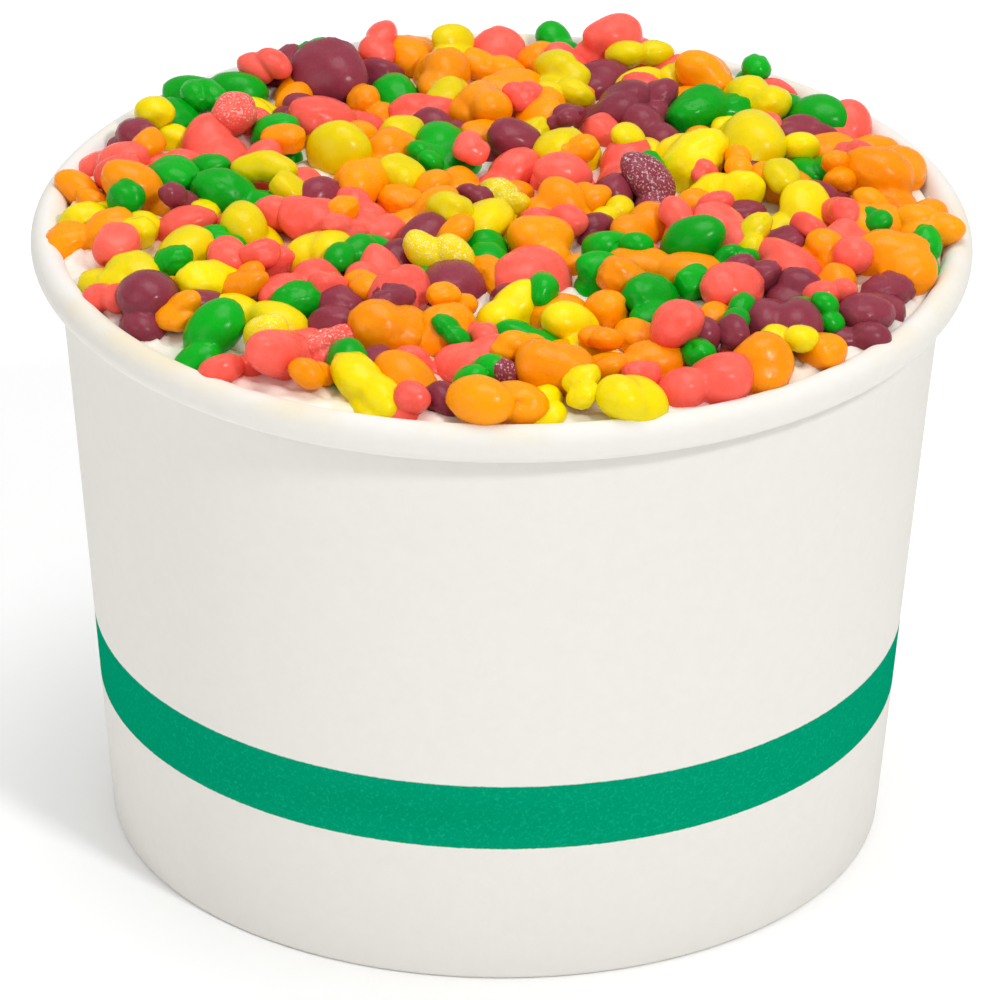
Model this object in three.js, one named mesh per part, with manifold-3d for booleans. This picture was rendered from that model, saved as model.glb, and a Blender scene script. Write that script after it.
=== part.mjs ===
// A paper food cup of about 240 ml, filled with frosted cake and topped with small lumpy candies.
// Millimetres, +Z up. The origin is the centre of the flat ring that the cup stands on.
import * as THREE from "three";
import { mergeVertices } from "three/addons/utils/BufferGeometryUtils.js";
import Module from "manifold-3d";

const wasm = await Module();
wasm.setup();

// Cup, as the paper container is sold: 90 mm across the rim, 75 mm across the base, 62 mm high
const RIM_DIAMETER = 90;
const BASE_DIAMETER = 75;
const CUP_HEIGHT = 62;
const PAPER = 0.45; // thickness of the coated paper board
const ROLL_WIDTH = 2.9; // the rim is the wall's own paper, rolled outwards
const ROLL_HEIGHT = 3.7;
const ROLL_SWEEP = THREE.MathUtils.degToRad(298); // the roll stops short of the wall
const ROLL_STEPS = 9;
const BASE_RECESS = 6; // from the table to the underside of the base disc
const FOLD_CLEARANCE = 0.15; // each side of the base disc's flange, inside the wall's fold
const SEAM_WIDTH = 7; // where the wall's paper laps over itself, at the back
const SEAM_LOW = 1;
const SEAM_HIGH = 57;
const ROUND_STEPS = 48;

// Cake and frosting
const NODE_GAP = 0.3; // air between the contents and the paper
const FROSTING_EDGE = 60.8; // level where the frosting meets the rim
const FROSTING_DOME = 1.2; // rise from that edge to the middle
const DOME_RINGS = 5;

// Candies: sizes fall from the largest to the smallest, and these solids hold the largest ones
const CANDY_COUNT = 290;
const CANDY_SOLIDS = 195;
const CANDY_LARGEST = 3.2; // radii
const CANDY_SMALLEST = 1.55;
const CANDY_FALL = 1.3; // how fast the sizes fall
const CANDY_AXES = [1.14, 1.0, 0.9]; // long, middle and short half axes, in radii
const CANDY_SUNK = 0.3; // height of a candy's centre above the frosting, in radii
const CANDY_PACK = 0.86; // neighbours touch at this share of their summed radii
const CANDY_TRIES = 40; // places tried for each candy
const CANDY_TILT = 0.6; // candies lie with their short axis up, give or take this angle in radians
const CANDY_SEED = 20;
const EDGE_SETBACK = 0.45; // least distance of a candy's centre from the frosting's edge, in radii

// Derived sizes
const HALF_PAPER = PAPER / 2;
const rollCentre = new THREE.Vector2((RIM_DIAMETER - ROLL_WIDTH) / 2, CUP_HEIGHT - ROLL_HEIGHT / 2);
const rollRadial = ROLL_WIDTH / 2 - HALF_PAPER;
const rollVertical = ROLL_HEIGHT / 2 - HALF_PAPER;
const wallFoot = BASE_DIAMETER / 2 - HALF_PAPER;
const wallHead = rollCentre.x - rollRadial;
const foldWidth = 2 * PAPER + 2 * FOLD_CLEARANCE;
const discTop = BASE_RECESS + PAPER;
const frostingRadius = innerRadius(FROSTING_EDGE - ROLL_HEIGHT / 2) - NODE_GAP;

// Radius of the middle of the wall's paper at a height
function wallRadius(z) {
  return wallFoot + ((wallHead - wallFoot) * z) / rollCentre.y;
}

function innerRadius(z) {
  return wallRadius(z) - HALF_PAPER;
}

// A closed outline of even thickness round a line, as bent paper is
function paperOutline(line, thickness) {
  const sides = [[], []];
  line.forEach((point, i) => {
    const before = point.clone().sub(line[Math.max(i - 1, 0)]).normalize();
    const after = line[Math.min(i + 1, line.length - 1)].clone().sub(point).normalize();
    const along = before.clone().add(after).normalize();
    const cornerScale = 1 / Math.max(along.dot(i ? before : after), 0.5);
    const across = new THREE.Vector2(-along.y, along.x).multiplyScalar((thickness / 2) * cornerScale);
    sides[0].push(point.clone().add(across));
    sides[1].unshift(point.clone().sub(across));
  });
  return [...sides[0], ...sides[1], sides[0][0].clone()];
}

// Turns an outline of radius and height round the Z axis, with the surface facing out
function turned(outline) {
  const ordered = THREE.ShapeUtils.isClockWise(outline) ? outline.toReversed() : outline;
  return new THREE.LatheGeometry(ordered, ROUND_STEPS).rotateX(Math.PI / 2);
}

// A closed geometry as a solid that can be joined and cut
function solidOf(geometry) {
  const bare = geometry.clone();
  bare.deleteAttribute("normal");
  bare.deleteAttribute("uv");
  const merged = mergeVertices(bare, 1e-4);
  const kept = [];
  for (let i = 0; i < merged.index.count; i += 3) {
    const [a, b, c] = [0, 1, 2].map((k) => merged.index.getX(i + k));
    if (a !== b && b !== c && c !== a) kept.push(a, b, c);
  }
  const vertProperties = new Float32Array(merged.attributes.position.array);
  return new wasm.Manifold(new wasm.Mesh({ numProp: 3, vertProperties, triVerts: new Uint32Array(kept) }));
}

// The largest body of a solid, without sealed hollows and loose scraps, as a geometry
function geometryOf(solid) {
  const bodies = solid.decompose().sort((a, b) => b.volume() - a.volume());
  const mesh = bodies[0].getMesh();
  const geometry = new THREE.BufferGeometry();
  geometry.setAttribute("position", new THREE.BufferAttribute(mesh.vertProperties, 3));
  geometry.setIndex(new THREE.BufferAttribute(mesh.triVerts, 1));
  geometry.computeVertexNormals();
  return geometry;
}

// Middle line of the wall's paper: the fold round the base disc's flange, the wall, and the rolled rim
function wallLine() {
  const line = [
    new THREE.Vector2(wallRadius(BASE_RECESS) - foldWidth, BASE_RECESS - NODE_GAP),
    new THREE.Vector2(wallFoot - foldWidth, HALF_PAPER),
    new THREE.Vector2(wallFoot, HALF_PAPER),
  ];
  for (let step = 0; step <= ROLL_STEPS; step++) {
    const angle = Math.PI - (ROLL_SWEEP * step) / ROLL_STEPS;
    const offset = new THREE.Vector2(rollRadial * Math.cos(angle), rollVertical * Math.sin(angle));
    line.push(rollCentre.clone().add(offset));
  }
  return line;
}

// The lap of the side seam: a strip one paper thickness proud of the wall, at the back
function seamSolid() {
  const strip = [
    new THREE.Vector2(wallRadius(SEAM_LOW), SEAM_LOW),
    new THREE.Vector2(wallRadius(SEAM_LOW) + HALF_PAPER + PAPER, SEAM_LOW),
    new THREE.Vector2(wallRadius(SEAM_HIGH) + HALF_PAPER + PAPER, SEAM_HIGH),
    new THREE.Vector2(wallRadius(SEAM_HIGH), SEAM_HIGH),
    new THREE.Vector2(wallRadius(SEAM_LOW), SEAM_LOW),
  ];
  const window = new THREE.BoxGeometry(SEAM_WIDTH, RIM_DIAMETER, 2 * CUP_HEIGHT);
  window.translate(0, RIM_DIAMETER / 2, 0);
  return solidOf(turned(strip)).intersect(solidOf(window));
}

function cupWall() {
  return geometryOf(solidOf(turned(paperOutline(wallLine(), PAPER))).add(seamSolid()));
}

// The base disc, with its flange turned down into the wall's fold
function cupBase() {
  const flangeInset = foldWidth / 2;
  const middle = BASE_RECESS + HALF_PAPER;
  const flangeEnd = PAPER + FOLD_CLEARANCE;
  return turned(
    paperOutline(
      [
        new THREE.Vector2(0, middle),
        new THREE.Vector2(wallRadius(middle) - flangeInset, middle),
        new THREE.Vector2(wallRadius(flangeEnd) - flangeInset, flangeEnd),
      ],
      PAPER,
    ),
  );
}

function frostingHeight(radius) {
  return FROSTING_EDGE + FROSTING_DOME * (1 - Math.min(radius / frostingRadius, 1) ** 4);
}

// Cake and frosting up to the rim, with a low dome
function cakeSolid() {
  const floor = discTop + NODE_GAP;
  const outline = [new THREE.Vector2(0, floor), new THREE.Vector2(innerRadius(floor) - NODE_GAP, floor)];
  for (let ring = 0; ring <= DOME_RINGS; ring++) {
    const radius = frostingRadius * Math.sqrt(1 - ring / DOME_RINGS);
    outline.push(new THREE.Vector2(radius, frostingHeight(radius)));
  }
  return solidOf(turned(outline));
}

// Even draws from 0 to 1 that are the same in every run
function drawsFrom(seed) {
  let state = seed;
  return () => {
    state = (Math.imul(state, 1664525) + 1013904223) >>> 0;
    return state / 2 ** 32;
  };
}

// Height of a ball's centre where it leans on another, with their centres that far apart in plan
function leaningHeight(apart, touch, level) {
  return apart < touch ? level + Math.sqrt(touch ** 2 - apart ** 2) : -Infinity;
}

// Height of a candy's centre where only the frosting and the rolled rim carry it
function bedHeight(reach, radius) {
  const onFrosting = frostingHeight(reach) + CANDY_SUNK * radius;
  const rollLevel = rollCentre.y + (ROLL_HEIGHT - ROLL_WIDTH) / 2;
  const rollTouch = CANDY_PACK * radius + ROLL_WIDTH / 2;
  return Math.max(onFrosting, leaningHeight(rollCentre.x - reach, rollTouch, rollLevel));
}

// A candy at rest at a spot: its cost is how far neighbours lift it, or else falls with the room round it
function settledCandy(reach, bearing, radius, placed) {
  const x = reach * Math.cos(bearing);
  const y = reach * Math.sin(bearing);
  const bed = bedHeight(reach, radius);
  let z = bed;
  let room = Infinity;
  for (const other of placed) {
    const apart = Math.hypot(x - other.x, y - other.y);
    const touch = CANDY_PACK * (radius + other.radius);
    z = Math.max(z, leaningHeight(apart, touch, other.z));
    room = Math.min(room, apart - touch);
  }
  return { x, y, z, radius, cost: z > bed ? z - bed : -room };
}

// Candies dropped one by one, the largest first, each into the best of a few random places
function candyBed() {
  const draw = drawsFrom(CANDY_SEED);
  const placed = [];
  for (let i = 0; i < CANDY_COUNT; i++) {
    const share = 1 - i / CANDY_COUNT;
    const radius = CANDY_SMALLEST + (CANDY_LARGEST - CANDY_SMALLEST) * share ** CANDY_FALL;
    const limit = frostingRadius - EDGE_SETBACK * radius;
    let best = null;
    for (let attempt = 0; attempt < CANDY_TRIES; attempt++) {
      const reach = limit * Math.sqrt(draw());
      const candy = settledCandy(reach, 2 * Math.PI * draw(), radius, placed);
      if (!best || candy.cost < best.cost) best = candy;
    }
    const tilts = [draw(), draw()].map((share) => CANDY_TILT * (2 * share - 1));
    const turn = new THREE.Euler(...tilts, 2 * Math.PI * draw());
    placed.push({ ...best, turn });
  }
  return placed;
}

// One lump of candy with few sides
function candySolid({ x, y, z, radius, turn }) {
  const lump = new THREE.IcosahedronGeometry(radius);
  lump.scale(...CANDY_AXES);
  lump.applyMatrix4(new THREE.Matrix4().makeRotationFromEuler(turn));
  return solidOf(lump.translate(x, y, z));
}

// The rolled rim with air round it, which no candy may enter
function rimClearance() {
  const outline = [];
  const sides = 10;
  for (let side = 0; side <= sides; side++) {
    const angle = (2 * Math.PI * side) / sides;
    const radial = ROLL_WIDTH / 2 + NODE_GAP;
    const vertical = ROLL_HEIGHT / 2 + NODE_GAP;
    outline.push(new THREE.Vector2(radial * Math.cos(angle), vertical * Math.sin(angle)).add(rollCentre));
  }
  return solidOf(turned(outline));
}

function frostedCake() {
  const rim = rimClearance();
  const candies = candyBed().slice(0, CANDY_SOLIDS).map(candySolid);
  return geometryOf(candies.reduce((joined, candy) => joined.add(candy.subtract(rim)), cakeSolid()));
}

function material(color, roughness) {
  return new THREE.MeshStandardMaterial({ color, roughness, metalness: 0 });
}

const paperWhite = material(0xeeece6, 0.75);
const nodes = { cup_wall: cupWall(), cup_base: cupBase(), frosted_cake: frostedCake() };
const finishes = { cup_wall: paperWhite, cup_base: paperWhite, frosted_cake: material(0xf6f3ea, 0.5) };

const cakeCup = new THREE.Group();
for (const [name, geometry] of Object.entries(nodes)) {
  const mesh = new THREE.Mesh(geometry, finishes[name]);
  mesh.name = name;
  cakeCup.add(mesh);
}

export default cakeCup;
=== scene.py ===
# The looks of a paper cup of frosted cake under small lumpy sugar candies. Metres, +Z up.
import math

import bmesh
import bpy
import numpy as np
from mathutils import Euler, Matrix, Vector


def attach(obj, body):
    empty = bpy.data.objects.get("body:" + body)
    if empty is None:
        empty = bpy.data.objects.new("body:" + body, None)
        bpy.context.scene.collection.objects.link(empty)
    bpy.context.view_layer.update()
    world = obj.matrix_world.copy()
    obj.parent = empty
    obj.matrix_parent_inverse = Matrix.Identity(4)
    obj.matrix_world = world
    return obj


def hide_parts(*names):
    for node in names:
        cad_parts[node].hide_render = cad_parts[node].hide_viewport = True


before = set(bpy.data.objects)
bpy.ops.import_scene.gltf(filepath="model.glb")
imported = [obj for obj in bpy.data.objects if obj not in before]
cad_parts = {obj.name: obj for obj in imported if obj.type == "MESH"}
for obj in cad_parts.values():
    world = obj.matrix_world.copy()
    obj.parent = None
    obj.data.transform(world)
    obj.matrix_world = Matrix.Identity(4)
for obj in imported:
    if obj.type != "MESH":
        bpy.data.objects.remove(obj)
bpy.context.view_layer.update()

# Cup
RIM_DIAMETER = 0.090
BASE_DIAMETER = 0.075
CUP_HEIGHT = 0.062
PAPER = 0.00045
ROLL_WIDTH = 0.0029
ROLL_HEIGHT = 0.0037
ROLL_SWEEP = math.radians(298)
ROLL_STEPS = 40
BASE_RECESS = 0.006
FOLD_CLEARANCE = 0.00015
FOLD_BEND = 0.00032  # radius of the bends at the foot, along the middle of the paper
LEG_TOP = 0.0057
SEAM_WIDTH = 0.007
SEAM_EDGE = 0.0004
ROUND_STEPS = 480
SEAM_FOOT = (0.0006, 0.0012)  # the seam rises out of the wall between these heights
SEAM_FADE = 0.001  # and sinks into it again over this much below the roll
RIM_WAVE = 0.00012  # how uneven the rolled rim is
RIM_WAVE_START = 0.045
STAIN_HEIGHTS = (0.0603, 0.0619)  # faint stains on the rim begin and are strongest here

# Green band printed round the wall
BAND_LOW = 0.0149
BAND_HIGH = 0.0219
BAND_SOFT = 0.0001  # how soft the print's edges are
BAND_RAGGED = 0.00012

# Frosting
NODE_GAP = 0.0003
FROSTING_EDGE = 0.0608
FROSTING_DOME = 0.0012
FROSTING_RINGS = 110
FROSTING_STEPS = 512
RING_CROWDING = 0.85  # below 1, the rings lie closer towards the rim
FROSTING_WAVES = [(0.00025, 0.009, 11), (0.00012, 0.0035, 12)]  # depth, length and seed
LIP_START = 0.0405  # the frosting stands a little higher from here to the rim
LIP_HEIGHT = 0.00036
FROSTING_REACH = 0.0436  # the frosting's surface runs on to here, under the rolled rim
FROSTING_FLOOR = 0.00675
SMEAR_START = 0.0419  # where the frosting begins to fall away at the rim
SMEAR_REACH = 0.0009  # how far smears of frosting run out over the rim
SMEAR_LEAST = -0.4  # how far back the edge goes between smears, as a share of SMEAR_REACH
FALL_SLOPE = 0.8
FALL_CURVE = 900  # per metre
MENISCUS = 0.0004  # how far frosting climbs a candy's foot
MENISCUS_WIDTH = 0.0006
CLIMB_FULL = 0.0025  # frosting climbs candies that are this far in from its end
CLIMB_END = 0.0012
FOOT_WIDTH = 0.8  # a candy's foot, as a share of its radius
FOOT_LIMIT = 1.3  # a candy higher than this many radii doesn't touch the frosting
# Painted bounce light on the frosting: how strongly each candy's colour is painted in, how fast it fades, and
# the most it covers
PAINTED_BOUNCE_STRENGTH = (0.1, 0.75)
PAINTED_BOUNCE_FADE = 0.00075
PAINTED_BOUNCE_MOST = 0.55

# Candies: the same rule and draws as the solid model has, which leaves out the smallest
CANDY_COUNT = 290
CANDY_LARGEST = 0.0032
CANDY_SMALLEST = 0.00155
CANDY_FALL = 1.3
CANDY_AXES = np.array([1.14, 1.0, 0.9])
CANDY_SUNK = 0.3
CANDY_PACK = 0.86
CANDY_TRIES = 40
CANDY_TILT = 0.6
CANDY_SEED = 20
EDGE_SETBACK = 0.45

# Small candies that fill gaps along the rim, in the looks alone
EDGE_COUNT = 34
EDGE_RADIUS = 0.0019
EDGE_SEED = 5
EDGE_LIFT = 0.0009  # the most that its neighbours lift one

# Shapes of the candies, as shares of their own size
SHAPE_SEED = 7
CANDY_REACH = 0.0444  # in metres: no candy hangs out further than this over the rim
GRID_CUTS = 11  # grid lines across a candy's side
LOBE_SHARES = [0.34, 0.34, 0.22, 0.10]  # small candies with one, two, three and four lobes
BIG_LOBE_SHARES = [0.06, 0.34, 0.36, 0.24]  # the same for candies over BIG_CANDY
BIG_CANDY = 0.0024  # radius in metres
LOBE_MELT = (11.0, 28.0)  # how sharply the lobes of a candy meet
BLOCK_POWER = (2.0, 3.0)  # 2 is a ball, and higher powers are blockier
LOBE_SPREAD = [1.0, 0.6, 0.6]  # lobes lie mostly along the candy
LOBE_REACH = (0.42, 0.56)  # from a candy's middle to the middle of a lobe
LOBE_SIZE = (0.58, 0.78)
PAIR_BEND = 0.3  # how far two lobes are from lying straight
LEAST_AXES = [0.98, 0.9, 0.84]
MOST_AXES = [1.2, 1.06, 1.02]
DENT_DEPTH = 0.04
DENT_LENGTH = 1.2
PEBBLE_DEPTH = 0.028
PEBBLE_LENGTH = 0.42
PEBBLED = ([0.12, 0.5, 1.0], [0.5, 0.3, 0.2])  # how pebbled candies are, and the share of each
PIT_SHARE = 0.25
PIT_DEPTH = (0.12, 0.3)
PIT_WIDTH = (0.015, 0.05)
FROSTED_SHARE = 0.05
FROSTED = 0.75  # how much of a frosted candy's top is sugar
TINT_SPREAD = (0.86, 1.1)

# Colours, as red, green and blue from 0 to 255
PAPER_WHITE = (228, 225, 219)
BAND_GREEN = (0, 146, 106)
BAND_SPECK = (16, 160, 120)
RIM_STAIN = (226, 215, 190)
CREAM = (240, 235, 224)
CANDY_COLOURS = {
    "coral": (255, 106, 92),
    "orange": (255, 152, 0),
    "yellow": (236, 214, 0),
    "green": (0, 168, 24),
    "purple": (140, 58, 72),
}
# A few candies that stand out in the photo, by pixel of its frame: the nearest candy takes the colour
LANDMARKS = {
    "coral": [(287, 372), (175, 240)],
    "orange": [(940, 210), (340, 155)],
    "yellow": [(553, 393), (500, 312)],
    "green": [(415, 37), (217, 352)],
    "purple": [(840, 330), (890, 285), (365, 95)],
}
CANDY_SHARES = [0.23, 0.31, 0.14, 0.19, 0.13]  # of each colour, in the same order

# Camera and light
LENS = 376.9  # on a sensor 36 mm wide
SENSOR = 36.0
PHOTO_SIDE = 1000
CAMERA_DISTANCE = 1.016
CAMERA_ELEVATION = math.radians(26.97)
CAMERA_ROLL = math.radians(0.7)
CAMERA_TARGET = Vector((0.00012, 0, 0.0322))
WORLD_STRENGTH = 0.5
LIGHTS = {  # place, size across and power
    "key": ((0.5, -0.7, 0.85), 0.16, 5.0),
    "top": ((0.05, 0.1, 1.15), 0.8, 6.3),
    "fill": ((-0.7, -0.5, 0.5), 0.6, 1.3),
}
LIGHT_AIM = Vector((0, 0, 0.045))
FLOOR_HALF = 3.0

# Derived sizes
HALF_PAPER = PAPER / 2
ROLL_CENTRE = np.array([(RIM_DIAMETER - ROLL_WIDTH) / 2, CUP_HEIGHT - ROLL_HEIGHT / 2])
ROLL_RADIAL = ROLL_WIDTH / 2 - HALF_PAPER
ROLL_VERTICAL = ROLL_HEIGHT / 2 - HALF_PAPER
WALL_FOOT = BASE_DIAMETER / 2 - HALF_PAPER
WALL_HEAD = ROLL_CENTRE[0] - ROLL_RADIAL
FOLD_WIDTH = 2 * PAPER + 2 * FOLD_CLEARANCE


def wall_radius(z):
    """Radius of the middle of the wall's paper at a height."""
    return WALL_FOOT + (WALL_HEAD - WALL_FOOT) * z / ROLL_CENTRE[1]


FROSTING_RADIUS = wall_radius(FROSTING_EDGE - ROLL_HEIGHT / 2) - HALF_PAPER - NODE_GAP


# Meshes

def linear(colour):
    """A colour of 0 to 255 as linear red, green and blue."""
    share = np.array(colour) / 255
    return np.where(share <= 0.04045, share / 12.92, ((share + 0.055) / 1.055) ** 2.4)


def smooth_step(low, high, value):
    share = np.clip((value - low) / (high - low), 0, 1)
    return share * share * (3 - 2 * share)


def waves(points, length, seed, count=9):
    """Smooth seeded unevenness of about -1 to 1 at an array of points."""
    rng = np.random.default_rng(seed)
    ways = rng.normal(size=(count, points.shape[-1]))
    ways /= np.linalg.norm(ways, axis=1, keepdims=True)
    ways *= rng.uniform(0.6, 1.5, (count, 1)) * 2 * math.pi / length
    phases = rng.uniform(0, 2 * math.pi, count)
    return np.sin(points @ ways.T + phases).sum(axis=-1) / math.sqrt(count / 2) / 1.6


def mesh_piece(name, vertices, faces, material):
    mesh = bpy.data.meshes.new(name)
    mesh.from_pydata(vertices, [], faces)
    mesh.shade_smooth()
    mesh.materials.append(material)
    piece = bpy.data.objects.new(name, mesh)
    bpy.context.scene.collection.objects.link(piece)
    return piece


def set_attribute(piece, name, kind, values):
    """Gives each vertex of a piece its own number or colour, for the material to read."""
    attribute = piece.data.attributes.new(name, kind, "POINT")
    key = "color" if kind == "FLOAT_COLOR" else "value"
    attribute.data.foreach_set(key, np.ascontiguousarray(values, dtype=np.float32).ravel())


def ring_surface(rings, ends=None):
    """A closed surface over rings of points: the last ring joins the first, or two points end it."""
    count, steps, _ = rings.shape
    index = np.arange(count * steps).reshape(count, steps)
    beside = np.roll(index, -1, axis=1)
    rows = count if ends is None else count - 1
    above = np.roll(index, -1, axis=0)[:rows]
    above_beside = np.roll(beside, -1, axis=0)[:rows]
    faces = np.stack([index[:rows], beside[:rows], above_beside, above], axis=-1).reshape(-1, 4).tolist()
    vertices = rings.reshape(-1, 3)
    if ends is not None:
        first, last = count * steps, count * steps + 1
        faces += [[first, b, a] for a, b in zip(index[0], beside[0])]
        faces += [[last, a, b] for a, b in zip(index[-1], beside[-1])]
        vertices = np.vstack([vertices, ends])
    return vertices, faces


def turned_rings(outline, steps):
    """Rings of points made by turning rows of radius and height round the Z axis."""
    angles = np.arange(steps) * 2 * math.pi / steps
    radius = outline[:, 0, None]
    height = np.broadcast_to(outline[:, 1, None], (len(outline), steps))
    return np.stack([radius * np.cos(angles), radius * np.sin(angles), height], axis=-1)


def paper_outline(line, thickness):
    """A closed outline of even thickness round a line, as bent paper is."""
    along = np.gradient(line, axis=0)
    along /= np.linalg.norm(along, axis=1, keepdims=True)
    across = np.stack([-along[:, 1], along[:, 0]], axis=1) * thickness / 2
    return np.vstack([line + across, (line - across)[::-1]])


def arc(centre, radii, start, end, steps):
    angles = np.linspace(start, end, steps)
    return np.stack([centre[0] + radii[0] * np.cos(angles), centre[1] + radii[1] * np.sin(angles)], axis=1)


# Materials

def new_material(name):
    material = bpy.data.materials.new(name)
    material.use_nodes = True
    tree = material.node_tree
    return material, tree, tree.nodes["Principled BSDF"]


def set_input(tree, socket, value):
    """Gives a shader socket a value, or links another node's output to it."""
    if isinstance(value, bpy.types.NodeSocket):
        tree.links.new(value, socket)
    else:
        socket.default_value = value


def add_node(tree, kind, settings=None, **inputs):
    """A shader node with its settings, whose inputs are values or the outputs of other nodes."""
    node = tree.nodes.new(kind)
    for key, value in (settings or {}).items():
        setattr(node, key, value)
    for key, value in inputs.items():
        set_input(tree, node.inputs[key.replace("_", " ")], value)
    return node


def noise_factor(tree, scale, detail=3.0, low=0.0, high=1.0):
    """Noise in the object's own metres, stretched so that its values from low to high become 0 to 1."""
    place = add_node(tree, "ShaderNodeTexCoord").outputs["Object"]
    noise = add_node(tree, "ShaderNodeTexNoise", Vector=place, Scale=scale, Detail=detail)
    spread = add_node(tree, "ShaderNodeMapRange", Value=noise.outputs["Fac"], From_Min=low, From_Max=high)
    return spread.outputs["Result"]


def mixed_colour(tree, factor, first, second):
    mix = tree.nodes.new("ShaderNodeMix")
    mix.data_type = "RGBA"
    for socket, value in ((mix.inputs[0], factor), (mix.inputs[6], first), (mix.inputs[7], second)):
        set_input(tree, socket, value)
    return mix.outputs[2]


def math_node(tree, operation, first, second):
    node = tree.nodes.new("ShaderNodeMath")
    node.operation = operation
    for socket, value in zip(node.inputs, (first, second)):
        set_input(tree, socket, value)
    return node.outputs[0]


def bump(tree, shader, height, distance, strength=1.0):
    node = add_node(tree, "ShaderNodeBump", Height=height, Distance=distance, Strength=strength)
    tree.links.new(node.outputs["Normal"], shader.inputs["Normal"])


def rgba(colour):
    return (*linear(colour), 1.0)


def paper_material():
    """White coated board with fine fibres, a green printed band, and faint stains high on the rim."""
    material, tree, shader = new_material("paper")
    place = add_node(tree, "ShaderNodeTexCoord").outputs["Object"]
    height = add_node(tree, "ShaderNodeSeparateXYZ", Vector=place).outputs["Z"]

    mottle = noise_factor(tree, scale=800, detail=4.0, low=0.35, high=0.75)
    white = mixed_colour(tree, mottle, rgba(PAPER_WHITE), rgba([c - 2 for c in PAPER_WHITE]))
    patches = noise_factor(tree, scale=90, detail=3.0, low=0.48, high=0.68)
    start, full = STAIN_HEIGHTS
    top = add_node(tree, "ShaderNodeMapRange", Value=height, From_Min=start, From_Max=full)
    stain_and_painted_bounce = math_node(tree, "MULTIPLY", patches, top.outputs["Result"])
    stained_and_bounce_painted = mixed_colour(tree, stain_and_painted_bounce, white, rgba(RIM_STAIN))

    edge_noise = noise_factor(tree, scale=2500, detail=2.0, low=0.0, high=1.0)
    ragged = math_node(tree, "MULTIPLY", edge_noise, BAND_RAGGED)
    lifted = math_node(tree, "ADD", height, ragged)
    above = add_node(
        tree, "ShaderNodeMapRange", Value=lifted, From_Min=BAND_LOW, From_Max=BAND_LOW + BAND_SOFT
    )
    below = add_node(
        tree, "ShaderNodeMapRange", Value=lifted, From_Min=BAND_HIGH + BAND_SOFT, From_Max=BAND_HIGH
    )
    band = math_node(tree, "MULTIPLY", above.outputs["Result"], below.outputs["Result"])
    specks = noise_factor(tree, scale=3200, detail=3.0, low=0.5, high=0.72)
    ink = mixed_colour(tree, specks, rgba(BAND_GREEN), rgba(BAND_SPECK))
    tree.links.new(mixed_colour(tree, band, stained_and_bounce_painted, ink), shader.inputs["Base Color"])

    shader.inputs["Roughness"].default_value = 0.6
    shader.inputs["Specular IOR Level"].default_value = 0.0
    fibres = noise_factor(tree, scale=1800, detail=5.0)
    bump(tree, shader, fibres, 0.00004, 0.5)
    return material


def frosting_material():
    """Soft white frosting, with the candies' coloured bounce light painted into it here and there."""
    material, tree, shader = new_material("frosting")
    # The base colour is a vertex colour that holds the candies' coloured bounce light, painted in
    stain_and_painted_bounce = add_node(tree, "ShaderNodeAttribute", {"attribute_name": "stain_and_painted_bounce"}).outputs["Color"]
    tree.links.new(stain_and_painted_bounce, shader.inputs["Base Color"])
    shader.inputs["Roughness"].default_value = 0.42
    shader.inputs["Subsurface Weight"].default_value = 0.35
    shader.inputs["Subsurface Radius"].default_value = (1.0, 0.8, 0.6)
    shader.inputs["Subsurface Scale"].default_value = 0.0012
    bump(tree, shader, noise_factor(tree, scale=900, detail=4.0), 0.00012, 0.6)
    return material


def candy_material(name, colour):
    """A waxy sugar shell with a fine grain, pebbled on some candies and frosted with sugar on others."""
    material, tree, shader = new_material(name)
    tint = add_node(tree, "ShaderNodeAttribute", {"attribute_name": "tint"}).outputs["Color"]
    frost = add_node(tree, "ShaderNodeAttribute", {"attribute_name": "frost"}).outputs["Fac"]
    pebbled = add_node(tree, "ShaderNodeAttribute", {"attribute_name": "pebbled"}).outputs["Fac"]
    pale = [c + (255 - c) * 0.8 for c in colour]

    sugar = math_node(tree, "MULTIPLY", frost, noise_factor(tree, scale=4200, detail=2.0, low=0.54, high=0.68))
    mottle = noise_factor(tree, scale=700, detail=3.0, low=0.3, high=0.8)
    deep = add_node(tree, "ShaderNodeHueSaturation", Color=tint, Value=0.9, Saturation=1.05).outputs["Color"]
    body = mixed_colour(tree, mottle, tint, deep)
    tree.links.new(mixed_colour(tree, sugar, body, rgba(pale)), shader.inputs["Base Color"])

    uneven = noise_factor(tree, scale=1100, detail=3.0, low=0.3, high=0.7)
    gloss = add_node(tree, "ShaderNodeMapRange", Value=uneven, To_Min=0.2, To_Max=0.36).outputs["Result"]
    sugar_rough = math_node(tree, "MULTIPLY", sugar, 0.2)
    tree.links.new(math_node(tree, "ADD", gloss, sugar_rough), shader.inputs["Roughness"])
    shader.inputs["Specular IOR Level"].default_value = 0.18
    shader.inputs["Subsurface Weight"].default_value = 0.25
    shader.inputs["Subsurface Radius"].default_value = tuple(0.15 + 0.85 * linear(colour))
    shader.inputs["Subsurface Scale"].default_value = 0.0007

    place = add_node(tree, "ShaderNodeTexCoord").outputs["Object"]
    cells = add_node(tree, "ShaderNodeTexVoronoi", {"feature": "SMOOTH_F1"}, Vector=place, Scale=1500.0)
    pebbles = math_node(tree, "MULTIPLY", cells.outputs["Distance"], pebbled)
    grain = math_node(tree, "MULTIPLY", noise_factor(tree, scale=2200, detail=3.0), 0.35)
    relief = math_node(tree, "ADD", pebbles, grain)
    bump(tree, shader, math_node(tree, "ADD", relief, sugar), 0.00009, 0.55)
    return material


# Cup

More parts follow.
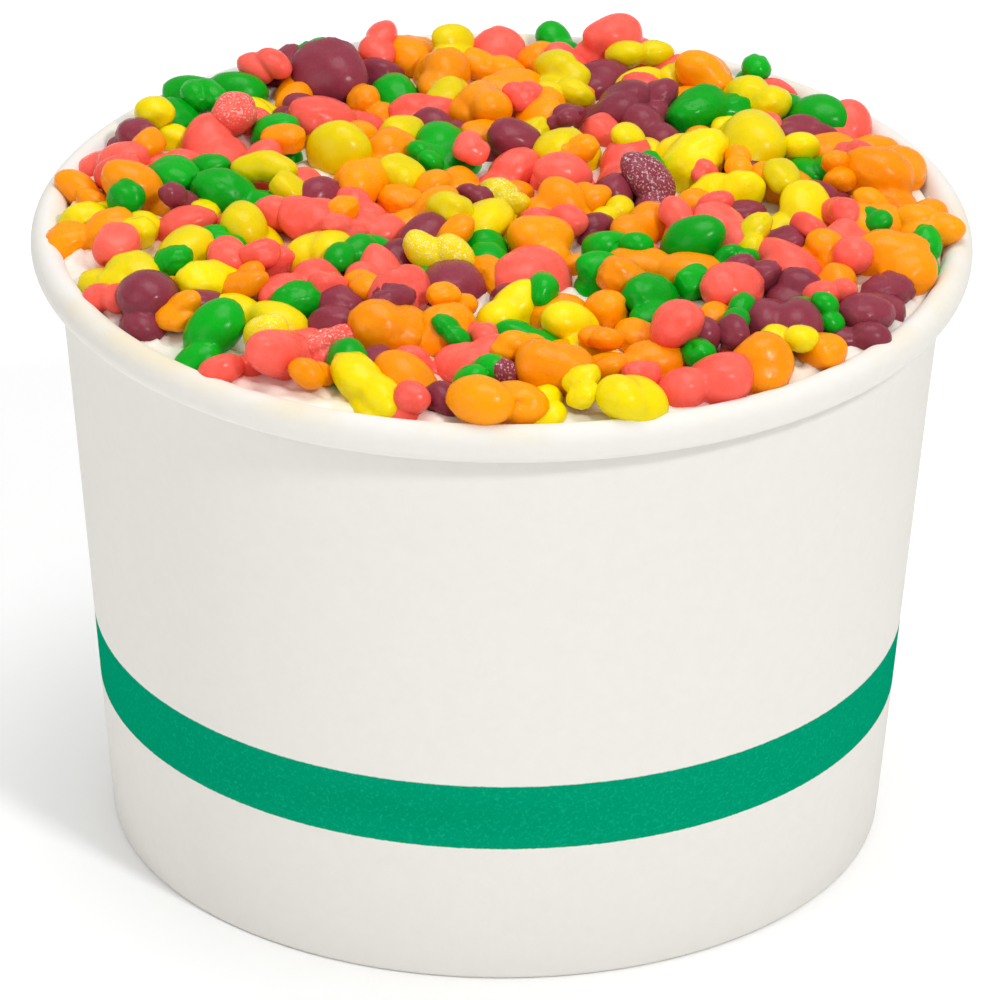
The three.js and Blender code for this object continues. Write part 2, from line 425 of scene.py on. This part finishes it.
def wall_line():
    """Middle line of the wall's paper: the fold at the foot, the wall and the rolled rim."""
    leg = WALL_FOOT - FOLD_WIDTH
    low = HALF_PAPER + FOLD_BEND
    head = np.array([WALL_HEAD, ROLL_CENTRE[1]])
    bends = (FOLD_BEND, FOLD_BEND)
    return np.vstack([
        np.linspace([wall_radius(LEG_TOP) - FOLD_WIDTH, LEG_TOP], [wall_radius(low) - FOLD_WIDTH, low], 6)[:-1],
        arc((leg + FOLD_BEND, low), bends, math.pi, 1.5 * math.pi, 7),
        arc((WALL_FOOT - FOLD_BEND, low), bends, -0.5 * math.pi, 0, 7),
        np.linspace([wall_radius(low), low], head, 34)[1:-1],
        arc(ROLL_CENTRE, (ROLL_RADIAL, ROLL_VERTICAL), math.pi, math.pi - ROLL_SWEEP, ROLL_STEPS),
    ])


def make_wall(material):
    outline = paper_outline(wall_line(), PAPER)
    rings = turned_rings(outline, ROUND_STEPS)
    around = rings[..., :2] / np.linalg.norm(rings[..., :2], axis=-1, keepdims=True)
    radius = np.linalg.norm(rings[..., :2], axis=-1)
    height = rings[..., 2]

    # The side seam at the back is one more layer of paper on the outside
    from_seam = np.abs(rings[..., 0])
    at_back = smooth_step(SEAM_WIDTH / 2 + SEAM_EDGE, SEAM_WIDTH / 2, from_seam) * (rings[..., 1] > 0)
    outside = smooth_step(0, HALF_PAPER, radius - wall_radius(height))
    below_roll = smooth_step(CUP_HEIGHT - ROLL_HEIGHT, CUP_HEIGHT - ROLL_HEIGHT - SEAM_FADE, height)
    seam = PAPER * at_back * outside * below_roll * smooth_step(*SEAM_FOOT, height)

    # The rolled rim is a little uneven
    on_rim = smooth_step(RIM_WAVE_START, CUP_HEIGHT - ROLL_HEIGHT / 2, height)
    rim_wave = RIM_WAVE * waves(around, 1.5, 3) * on_rim
    rings[..., :2] = around * (radius + seam + rim_wave)[..., None]
    rings[..., 2] += RIM_WAVE * waves(around, 1.9, 4) * on_rim
    return mesh_piece("cup_wall_paper", *ring_surface(rings), material)


def make_base(material):
    """The base disc with its flange turned down into the wall's fold."""
    middle = BASE_RECESS + HALF_PAPER
    inset = FOLD_WIDTH / 2
    low = PAPER + FOLD_CLEARANCE
    corner = (wall_radius(middle) - inset - FOLD_BEND, middle - FOLD_BEND)
    line = np.vstack([
        np.linspace([0.001, middle], [corner[0], middle], 12)[:-1],
        arc(corner, (FOLD_BEND, FOLD_BEND), 0.5 * math.pi, 0, 6),
        np.linspace([wall_radius(corner[1]) - inset, corner[1]], [wall_radius(low) - inset, low], 6)[1:],
    ])
    ends = [[0, 0, BASE_RECESS + PAPER], [0, 0, BASE_RECESS]]
    rings = turned_rings(paper_outline(line, PAPER), ROUND_STEPS // 4)
    return mesh_piece("cup_base_paper", *ring_surface(rings, ends), material)


# Candy bed

def draws(seed):
    """Even draws from 0 to 1 that are the same in every run."""
    state = seed
    while True:
        state = (state * 1664525 + 1013904223) % 2**32
        yield state / 2**32


def frosting_height(reach):
    return FROSTING_EDGE + FROSTING_DOME * (1 - np.minimum(reach / FROSTING_RADIUS, 1) ** 4)


def leaning_height(apart, touch, level):
    """Height of a ball's centre where it leans on another, with their centres that far apart in plan."""
    lift = np.sqrt(np.maximum(touch**2 - apart**2, 0))
    return np.where(apart < touch, level + lift, -np.inf)


def bed_height(reach, radius):
    """Height of a candy's centre where only the frosting and the rolled rim carry it."""
    on_frosting = frosting_height(reach) + CANDY_SUNK * radius
    roll_level = ROLL_CENTRE[1] + (ROLL_HEIGHT - ROLL_WIDTH) / 2
    roll_touch = CANDY_PACK * radius + ROLL_WIDTH / 2
    return max(on_frosting, leaning_height(ROLL_CENTRE[0] - reach, roll_touch, roll_level))


def settled_candy(reach, bearing, radius, placed):
    """A candy at rest at a spot, and its cost: its lift by neighbours, or less than 0 with room round it."""
    x = reach * math.cos(bearing)
    y = reach * math.sin(bearing)
    bed = bed_height(reach, radius)
    if not len(placed):
        return 0.0, (x, y, bed, radius)
    apart = np.hypot(x - placed[:, 0], y - placed[:, 1])
    touch = CANDY_PACK * (radius + placed[:, 3])
    z = max(bed, leaning_height(apart, touch, placed[:, 2]).max())
    return (z - bed if z > bed else -(apart - touch).min()), (x, y, z, radius)


def candy_bed():
    """Candies dropped one by one, the largest first, each into the best of a few random places."""
    draw = draws(CANDY_SEED)
    placed = np.zeros((CANDY_COUNT, 4))
    turns = np.zeros((CANDY_COUNT, 3))
    for i in range(CANDY_COUNT):
        radius = CANDY_SMALLEST + (CANDY_LARGEST - CANDY_SMALLEST) * (1 - i / CANDY_COUNT) ** CANDY_FALL
        limit = FROSTING_RADIUS - EDGE_SETBACK * radius
        tries = []
        for _ in range(CANDY_TRIES):
            reach = limit * math.sqrt(next(draw))
            tries.append(settled_candy(reach, 2 * math.pi * next(draw), radius, placed[:i]))
        placed[i] = min(tries, key=lambda candy: candy[0])[1]
        tilts = [CANDY_TILT * (2 * next(draw) - 1) for _ in range(2)]
        turns[i] = [*tilts, 2 * math.pi * next(draw)]
    return placed, turns


def with_edge_candies(placed, turns):
    """The bed with small candies added in the gaps along the rim."""
    draw = draws(EDGE_SEED)
    limit = FROSTING_RADIUS - EDGE_SETBACK * EDGE_RADIUS
    for _ in range(EDGE_COUNT):
        tries = [settled_candy(limit, 2 * math.pi * next(draw), EDGE_RADIUS, placed) for _ in range(CANDY_TRIES)]
        lift, candy = min(tries, key=lambda settled: settled[0])
        if lift < EDGE_LIFT:
            placed = np.vstack([placed, candy])
            turns = np.vstack([turns, [0, 0, 2 * math.pi * next(draw)]])
    return placed, turns


def ball_grid(cuts):
    """Even directions over a ball, and the quads between them."""
    grid = bmesh.new()
    bmesh.ops.create_cube(grid, size=2.0)
    bmesh.ops.subdivide_edges(grid, edges=grid.edges[:], cuts=cuts, use_grid_fill=True)
    grid.verts.index_update()
    cube = np.array([vertex.co for vertex in grid.verts])
    quads = np.array([[vertex.index for vertex in face.verts] for face in grid.faces])
    grid.free()
    directions = np.tan(cube * math.pi / 4)
    return directions / np.linalg.norm(directions, axis=1, keepdims=True), quads


def lobed_radius(directions, size, pebbled, rng):
    """Distance from a candy's middle to its skin: round or blocky lobes, melted into each other."""
    shares = BIG_LOBE_SHARES if size > BIG_CANDY else LOBE_SHARES
    lobes = 1 + rng.choice(len(shares), p=shares)
    power = rng.uniform(*BLOCK_POWER)
    melt = rng.uniform(*LOBE_MELT)
    block = (np.abs(directions) ** power).sum(axis=1) ** (-1 / power)
    if lobes == 1:
        radius = block
    else:
        centres = rng.normal(size=(lobes, 3)) * LOBE_SPREAD
        if lobes == 2:
            centres[1] = -centres[0] + PAIR_BEND * centres[1]
        lengths = np.linalg.norm(centres, axis=1, keepdims=True)
        centres *= rng.uniform(*LOBE_REACH, (lobes, 1)) / lengths
        sizes = rng.uniform(*LOBE_SIZE, lobes)
        along = directions @ centres.T
        root = along**2 - (centres**2).sum(axis=1) + sizes**2
        exits = np.where(root > 0, along + np.sqrt(np.maximum(root, 0)), 0)
        radius = np.log(np.exp(melt * exits).sum(axis=1)) / melt
    radius = radius * (1 + DENT_DEPTH * waves(directions, DENT_LENGTH, rng.integers(2**31)))
    radius = radius * (1 + PEBBLE_DEPTH * pebbled * waves(directions, PEBBLE_LENGTH, rng.integers(2**31)))
    if rng.random() < PIT_SHARE:
        pit = rng.normal(size=3)
        pit /= np.linalg.norm(pit)
        depth = rng.uniform(*PIT_DEPTH)
        width = rng.uniform(*PIT_WIDTH)
        radius = radius * (1 - depth * np.exp((directions @ pit - 1) / width))
    return radius / radius.mean()


def rotation(turn):
    """Turns about Z, then Y, then X."""
    x, y, z = (np.array(Euler(np.eye(3)[axis] * turn[axis]).to_matrix()) for axis in range(3))
    return x @ y @ z


def candy_kinds(bed, rng):
    """The number of each candy's colour: drawn by its share, apart from the candies that stand out."""
    names = list(CANDY_COLOURS)
    kinds = rng.choice(len(names), size=len(bed), p=CANDY_SHARES)
    free = np.ones(len(bed), dtype=bool)
    for name, pixels in LANDMARKS.items():
        for pixel in pixels:
            spot = bed_point(pixel)
            apart = np.hypot(bed[:, 0] - spot.x, bed[:, 1] - spot.y)
            nearest = np.where(free, apart, np.inf).argmin()
            free[nearest] = False
            kinds[nearest] = names.index(name)
    return kinds


def make_candies(bed, turns):
    """One piece for each colour, and the colour of every candy."""
    rng = np.random.default_rng(SHAPE_SEED)
    names = list(CANDY_COLOURS)
    kinds = candy_kinds(bed, rng)
    directions, quads = ball_grid(GRID_CUTS)
    parts = {name: {"vertices": [], "faces": [], "tint": [], "frost": [], "pebbled": []} for name in names}
    for (x, y, z, radius), turn, kind in zip(bed, turns, kinds):
        part = parts[names[kind]]
        axes = CANDY_AXES * rng.uniform(LEAST_AXES, MOST_AXES)
        pebbled = rng.choice(PEBBLED[0], p=PEBBLED[1])
        shape = directions * lobed_radius(directions, radius, pebbled, rng)[:, None] * axes
        offset = shape @ rotation(turn).T * radius
        middle = math.hypot(x, y)
        reach = np.hypot(x + offset[:, 0], y + offset[:, 1]).max()
        points = [x, y, z] + offset * min(1, (CANDY_REACH - middle) / (reach - middle))
        base = linear(CANDY_COLOURS[names[kind]]) * rng.uniform(*TINT_SPREAD)
        part["faces"].append(quads + len(directions) * len(part["vertices"]))
        part["vertices"].append(points)
        part["tint"].append(np.tile([*np.clip(base, 0, 1), 1.0], (len(points), 1)))
        frosted = rng.random() < FROSTED_SHARE
        upper = smooth_step(-0.2, 0.9, directions @ rotation(turn).T[:, 2])
        part["frost"].append(FROSTED * frosted * upper)
        part["pebbled"].append(np.full(len(points), pebbled))
    for name, part in parts.items():
        material = candy_material(f"candy_{name}", CANDY_COLOURS[name])
        piece = mesh_piece(f"candies_{name}", np.vstack(part["vertices"]), np.vstack(part["faces"]), material)
        set_attribute(piece, "tint", "FLOAT_COLOR", np.vstack(part["tint"]))
        set_attribute(piece, "frost", "FLOAT", np.concatenate(part["frost"]))
        set_attribute(piece, "pebbled", "FLOAT", np.concatenate(part["pebbled"]))
        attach(piece, "root")
        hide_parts("frosted_cake")
    return [CANDY_COLOURS[names[kind]] for kind in kinds]


# Frosting

def frosting_surface():
    """Rings of the frosting's top: soft waves, a low lip, and smears that fall away over the rim."""
    reach = FROSTING_REACH * np.linspace(1 / FROSTING_RINGS, 1, FROSTING_RINGS) ** RING_CROWDING
    surface = turned_rings(np.stack([reach, frosting_height(reach)], axis=1), FROSTING_STEPS)
    flat = surface[..., :2]
    from_middle = np.linalg.norm(flat, axis=-1)
    for depth, length, seed in FROSTING_WAVES:
        surface[..., 2] += depth * waves(flat, length, seed)

    smears = np.maximum(waves(flat / from_middle[..., None], 0.35, 13), SMEAR_LEAST)
    past_edge = np.maximum(from_middle - SMEAR_START - SMEAR_REACH * smears, 0)
    surface[..., 2] += LIP_HEIGHT * (from_middle > LIP_START)
    fallen = surface[..., 2] - FALL_SLOPE * past_edge - FALL_CURVE * past_edge**2
    surface[..., 2] = np.maximum(fallen, np.minimum(surface[..., 2], ROLL_CENTRE[1]))
    return surface


def candy_marks(flat, bed, colours):
    """How far the frosting climbs the candies, and its colour with their coloured bounce light painted in, at an
    array of places.
    """
    rng = np.random.default_rng(SHAPE_SEED + 1)
    climb = np.zeros(flat.shape[:2])
    stain_and_painted_bounce = np.zeros((*flat.shape[:2], 3))
    weight = np.full(flat.shape[:2], 1e-6)
    for (x, y, z, radius), colour in zip(bed, colours):
        strength = rng.uniform(*PAINTED_BOUNCE_STRENGTH)
        if z > frosting_height(math.hypot(x, y)) + FOOT_LIMIT * radius:
            continue
        gap = np.maximum(np.hypot(flat[..., 0] - x, flat[..., 1] - y) - FOOT_WIDTH * radius, 0)
        climb = np.maximum(climb, MENISCUS * np.exp(-((gap / MENISCUS_WIDTH) ** 2)))
        # Painted bounce light: the candy's colour painted into the frosting, fading with distance from its foot
        share = strength * np.exp(-gap / PAINTED_BOUNCE_FADE)
        stain_and_painted_bounce += share[..., None] * linear(colour)
        weight += share
    painted_bounce_share = np.clip(weight, 0, 1)[..., None] * PAINTED_BOUNCE_MOST
    return climb, linear(CREAM) * (1 - painted_bounce_share) + stain_and_painted_bounce / weight[..., None] * painted_bounce_share


def make_frosting(bed, colours):
    """Frosting to the rim, drawn up round the candies and with their coloured bounce light painted on it, on a
    plain body.
    """
    surface = frosting_surface()
    flat = surface[..., :2]
    climb, stained_and_bounce_painted = candy_marks(flat, bed, colours)
    inward = FROSTING_REACH - np.linalg.norm(flat, axis=-1)
    surface[..., 2] += climb * smooth_step(CLIMB_END, CLIMB_FULL, inward)

    wall = np.linspace(FROSTING_FLOOR, FROSTING_EDGE - ROLL_HEIGHT / 2, 12)
    sides = turned_rings(np.stack([wall_radius(wall) - HALF_PAPER / 2, wall], axis=1), FROSTING_STEPS)
    rings = np.concatenate([surface, sides[::-1]])
    ends = [[0, 0, surface[0, :, 2].mean()], [0, 0, FROSTING_FLOOR]]
    piece = mesh_piece("frosting", *ring_surface(rings, ends), frosting_material())
    plain = np.tile(linear(CREAM), (sides.shape[0] * sides.shape[1] + 2, 1))
    tints = np.vstack([stained_and_bounce_painted.reshape(-1, 3), plain])
    set_attribute(piece, "stain_and_painted_bounce", "FLOAT_COLOR", np.hstack([tints, np.ones((len(tints), 1))]))
    return piece


# Stage

def make_floor():
    material, _, shader = new_material("floor")
    shader.inputs["Base Color"].default_value = (1.0, 1.0, 1.0, 1.0)
    shader.inputs["Roughness"].default_value = 0.9
    shader.inputs["Specular IOR Level"].default_value = 0.1
    corners = [(FLOOR_HALF * x, FLOOR_HALF * y, 0) for x, y in ((-1, -1), (1, -1), (1, 1), (-1, 1))]
    mesh_piece("floor", corners, [(0, 1, 2, 3)], material)


def make_light(name, place, size, power):
    light = bpy.data.lights.new(name, "AREA")
    light.shape = "DISK"
    light.size = size
    light.energy = power
    lamp = bpy.data.objects.new(name, light)
    lamp.location = place
    lamp.rotation_euler = (LIGHT_AIM - lamp.location).to_track_quat("-Z", "Y").to_euler()
    bpy.context.scene.collection.objects.link(lamp)


def make_world(strength):
    world = bpy.data.worlds.new("studio")
    world.use_nodes = True
    world.node_tree.nodes["Background"].inputs["Color"].default_value = (1, 1, 1, 1)
    world.node_tree.nodes["Background"].inputs["Strength"].default_value = strength
    bpy.context.scene.world = world


def view_axes():
    """Directions to the right, up and back as the camera sees them, in columns."""
    back = Vector((0, -math.cos(CAMERA_ELEVATION), math.sin(CAMERA_ELEVATION)))
    level = (-back).to_track_quat("-Z", "Y").to_matrix()
    return level @ Euler((0, 0, CAMERA_ROLL)).to_matrix()


def bed_point(pixel):
    """The point of the candy bed that the camera sees at a pixel of the photo's frame."""
    focal = PHOTO_SIDE * LENS / SENSOR
    axes = view_axes()
    eye = CAMERA_TARGET + CAMERA_DISTANCE * axes.col[2]
    ray = axes @ Vector((pixel[0] - PHOTO_SIDE / 2, PHOTO_SIDE / 2 - pixel[1], -focal))
    return eye + ray * (FROSTING_EDGE + CANDY_SMALLEST - eye.z) / ray.z


def make_camera():
    camera = bpy.data.cameras.new("camera")
    camera.lens = LENS
    camera.sensor_width = SENSOR
    eye = bpy.data.objects.new("camera", camera)
    axes = view_axes()
    eye.location = CAMERA_TARGET + CAMERA_DISTANCE * axes.col[2]
    eye.rotation_euler = axes.to_euler()
    bpy.context.scene.collection.objects.link(eye)
    bpy.context.scene.camera = eye


# Whole scene

make_camera()
make_floor()
make_world(WORLD_STRENGTH)
for name, (place, size, power) in LIGHTS.items():
    make_light(name, place, size, power)
bpy.context.scene.view_settings.view_transform = "Standard"

paper = paper_material()
for piece, node in ((make_wall(paper), "cup_wall"), (make_base(paper), "cup_base")):
    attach(piece, "root")
    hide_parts(node)

bed, turns = with_edge_candies(*candy_bed())
candy_colours = make_candies(bed, turns)
frosting = make_frosting(bed, candy_colours)
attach(frosting, "root")
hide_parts("frosted_cake")
